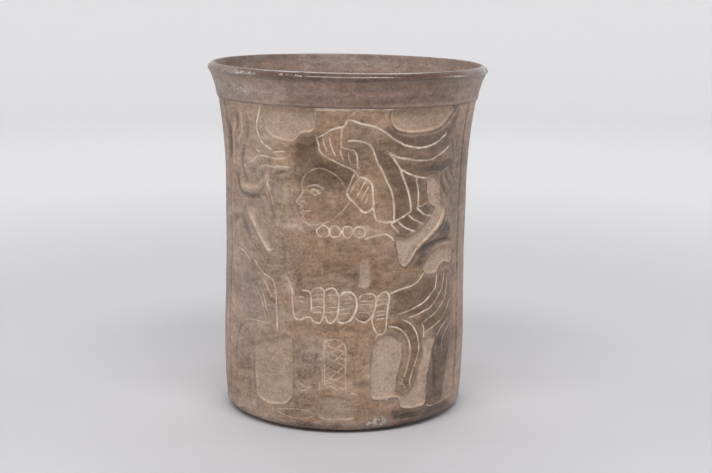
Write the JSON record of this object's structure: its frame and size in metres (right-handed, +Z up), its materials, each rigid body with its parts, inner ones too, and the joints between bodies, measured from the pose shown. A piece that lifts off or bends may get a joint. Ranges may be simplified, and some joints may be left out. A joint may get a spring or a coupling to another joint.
{
  "type": "carved earthenware vessel",
  "caption": "Straight-sided earthenware drinking vessel with a flared plain collar, a rounded lip and carved figure panels.",
  "frame": {"origin": "centre of the base, on the surface that the vessel stands on", "axes": "+Z up along the vessel's axis; the pictured panel faces -Y"},
  "size_m": [0.114, 0.114, 0.142],
  "materials": {
    "floor_clay": "worn brown earthenware with pale wear and lime specks at its edge",
    "coil_clay": "unburnished brown earthenware",
    "wall_clay": "burnished brown earthenware, carved through to a pale gritty ground, with dark fire clouds",
    "collar_clay": "burnished brown earthenware with fine streaks around it",
    "lip_clay": "dark red-brown burnished earthenware, glossy on its crown"
  },
  "bodies": {
    "root": {"floor_disc": "floor_clay", "corner_coil": "coil_clay", "carved_wall": "wall_clay", "rim_collar": "collar_clay", "lip_coil": "lip_clay"}
  },
  "joints": []
}
